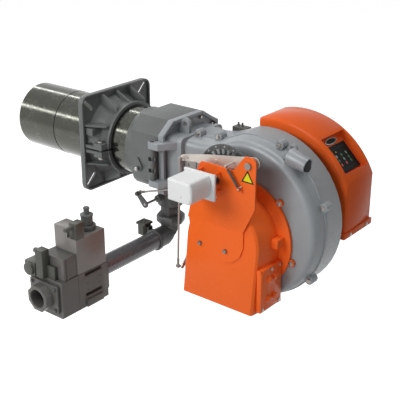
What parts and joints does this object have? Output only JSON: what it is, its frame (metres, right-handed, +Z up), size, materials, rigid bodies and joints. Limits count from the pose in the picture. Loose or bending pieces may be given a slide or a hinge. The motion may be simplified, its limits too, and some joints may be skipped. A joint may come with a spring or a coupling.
{
  "type": "industrial gas burner",
  "caption": "Forced-draught industrial gas burner with a swing-out fan housing, cam-driven air damper and gas throttle, valve train and slotted boiler flange.",
  "frame": {"origin": "on the blast tube's axis in the boiler-side face of the mounting flange", "axes": "+X along the blast tube away from the boiler, towards the fan; -Y to the side of the air intake; +Z up"},
  "size_m": [1.2037, 0.8669, 0.5425],
  "materials": {
    "mounting_flange": "dark grey painted casting",
    "clamp_bolt": "plain steel",
    "blast_tube": "galvanised or heat-proof sheet steel",
    "flame_disc": "galvanised or heat-proof sheet steel",
    "gas_head": "galvanised or heat-proof sheet steel",
    "ignition_electrodes": "white glazed ceramic",
    "head_housing": "dark grey painted casting",
    "hinge_pin": "plain steel",
    "setting_quadrant": "dark grey painted casting",
    "throttle_body": "dark grey painted casting",
    "gas_butterfly": "plain steel",
    "throttle_lever": "dark grey painted casting",
    "riser_hex": "dark malleable iron",
    "union_nut": "dark malleable iron",
    "gas_elbow": "dark malleable iron",
    "gas_pipe": "dark grey steel pipe",
    "outlet_flange": "dark grey painted casting",
    "gas_valve_body": "dark grey painted casting",
    "inlet_flange": "dark grey painted casting",
    "tall_solenoid": "dark grey painted casting",
    "low_solenoid": "dark grey painted casting",
    "power_plug": "black moulded plastic",
    "valve_pressure_switch": "black moulded plastic",
    "regulator": "dark grey painted casting",
    "top_plug": "black moulded plastic",
    "gas_pressure_switch": "black moulded plastic",
    "hinge_door": "light grey silk painted aluminium casting",
    "door_bolt_1": "plain steel",
    "door_bolt_2": "plain steel",
    "door_bolt_3": "plain steel",
    "fan_housing_front": "light grey silk painted aluminium casting",
    "fan_housing_back": "light grey silk painted aluminium casting",
    "sight_glass": "dark glass",
    "impeller": "galvanised or heat-proof sheet steel",
    "motor_shaft": "plain steel",
    "fan_motor": "dark grey painted casting",
    "motor_cowl": "dark grey painted casting",
    "intake_hood": "glossy orange enamel",
    "intake_side_cover": "glossy orange enamel",
    "air_damper": "galvanised or heat-proof sheet steel",
    "damper_lever": "plain steel",
    "servo_bracket": "glossy orange enamel",
    "bracket_bolt_1": "plain steel",
    "bracket_bolt_2": "plain steel",
    "follower_pivot": "plain steel",
    "follower_lever": "plain steel",
    "follower_spring": "plain steel",
    "servo_body": "off-white moulded plastic",
    "servo_plate": "off-white moulded plastic",
    "servo_shaft": "plain steel",
    "cam_disc": "plain steel",
    "air_rod": "plain steel",
    "gas_rod": "plain steel",
    "neck_plate": "plain steel",
    "control_cover": "glossy orange enamel",
    "display_panel": "black foil panel with green, red and pale lamps",
    "console_chassis": "dark grey painted casting",
    "console_base": "glossy orange enamel",
    "air_pressure_switch": "black moulded plastic"
  },
  "bodies": {
    "flange": {"mounting_flange": "mounting_flange", "clamp_bolt": "clamp_bolt"},
    "head": {"blast_tube": "blast_tube", "flame_disc": "flame_disc", "gas_head": "gas_head", "ignition_electrodes": "ignition_electrodes", "head_housing": "head_housing", "hinge_pin": "hinge_pin", "setting_quadrant": "setting_quadrant", "throttle_body": "throttle_body", "riser_hex": "riser_hex", "union_nut": "union_nut", "gas_elbow": "gas_elbow", "gas_pipe": "gas_pipe", "outlet_flange": "outlet_flange", "gas_valve_body": "gas_valve_body", "inlet_flange": "inlet_flange", "tall_solenoid": "tall_solenoid", "low_solenoid": "low_solenoid", "power_plug": "power_plug", "valve_pressure_switch": "valve_pressure_switch", "regulator": "regulator", "top_plug": "top_plug", "gas_pressure_switch": "gas_pressure_switch"},
    "throttle": {"gas_butterfly": "gas_butterfly", "throttle_lever": "throttle_lever"},
    "swing": {"hinge_door": "hinge_door", "door_bolt_1": "door_bolt_1", "door_bolt_2": "door_bolt_2", "door_bolt_3": "door_bolt_3", "fan_housing_front": "fan_housing_front", "fan_housing_back": "fan_housing_back", "sight_glass": "sight_glass", "fan_motor": "fan_motor", "motor_cowl": "motor_cowl", "intake_hood": "intake_hood", "intake_side_cover": "intake_side_cover", "servo_bracket": "servo_bracket", "bracket_bolt_1": "bracket_bolt_1", "bracket_bolt_2": "bracket_bolt_2", "follower_pivot": "follower_pivot", "follower_spring": "follower_spring", "servo_body": "servo_body", "servo_plate": "servo_plate", "neck_plate": "neck_plate", "control_cover": "control_cover", "display_panel": "display_panel", "console_chassis": "console_chassis", "console_base": "console_base", "air_pressure_switch": "air_pressure_switch"},
    "servo": {"servo_shaft": "servo_shaft", "cam_disc": "cam_disc"},
    "gas_rod": {"gas_rod": "gas_rod"},
    "follower": {"follower_lever": "follower_lever"},
    "air_rod": {"air_rod": "air_rod"},
    "damper": {"air_damper": "air_damper", "damper_lever": "damper_lever"},
    "fan": {"impeller": "impeller", "motor_shaft": "motor_shaft"}
  },
  "joints": [
    {"name": "head_slide", "type": "slide", "parent": "flange", "child": "head", "axis": [1, 0, 0], "range_m": [-0.055, 0.15]},
    {"name": "burner_swing", "type": "hinge", "parent": "head", "child": "swing", "pos_m": [0.29, -0.138, 0], "axis": [0, 0, 1], "range_deg": [-60, 0]},
    {"name": "servo_turn", "type": "hinge", "parent": "swing", "child": "servo", "pos_m": [0.577, -0.183, 0.03], "axis": [0, -1, 0], "range_deg": [0, 90]},
    {"name": "gas_rod_turn", "type": "hinge", "parent": "servo", "child": "gas_rod", "pos_m": [0.547, -0.183, 0], "axis": [0, 1, 0], "range_deg": [0, 90]},
    {"name": "throttle_turn", "type": "hinge", "parent": "head", "child": "throttle", "pos_m": [0.242, 0, -0.156], "axis": [0, 1, 0], "range_deg": [0, 90]},
    {"name": "follower_lift", "type": "hinge", "parent": "swing", "child": "follower", "pos_m": [0.687, -0.166, 0.096], "axis": [0, 1, 0], "range_deg": [0, 10], "deforming": ["follower_spring"]},
    {"name": "air_rod_turn", "type": "hinge", "parent": "follower", "child": "air_rod", "pos_m": [0.437, -0.182, 0.0575], "axis": [0, -1, 0], "range_deg": [0, 10]},
    {"name": "damper_turn", "type": "hinge", "parent": "swing", "child": "damper", "pos_m": [0.441, -0.15, -0.268], "axis": [-1, 0, 0], "range_deg": [0, 80]},
    {"name": "fan_spin", "type": "hinge", "parent": "swing", "child": "fan", "pos_m": [0.597, 0, -0.163], "axis": [0, 1, 0], "continuous": true}
  ],
  "couplings": [
    {"joint": "gas_rod_turn", "follows": "servo_turn", "ratio": 1},
    {"joint": "throttle_turn", "follows": "servo_turn", "ratio": 1},
    {"joint": "follower_lift", "follows": "servo_turn", "ratio": 0.1111},
    {"joint": "air_rod_turn", "follows": "servo_turn", "ratio": 0.1111},
    {"joint": "damper_turn", "follows": "servo_turn", "ratio": 0.8889}
  ]
}
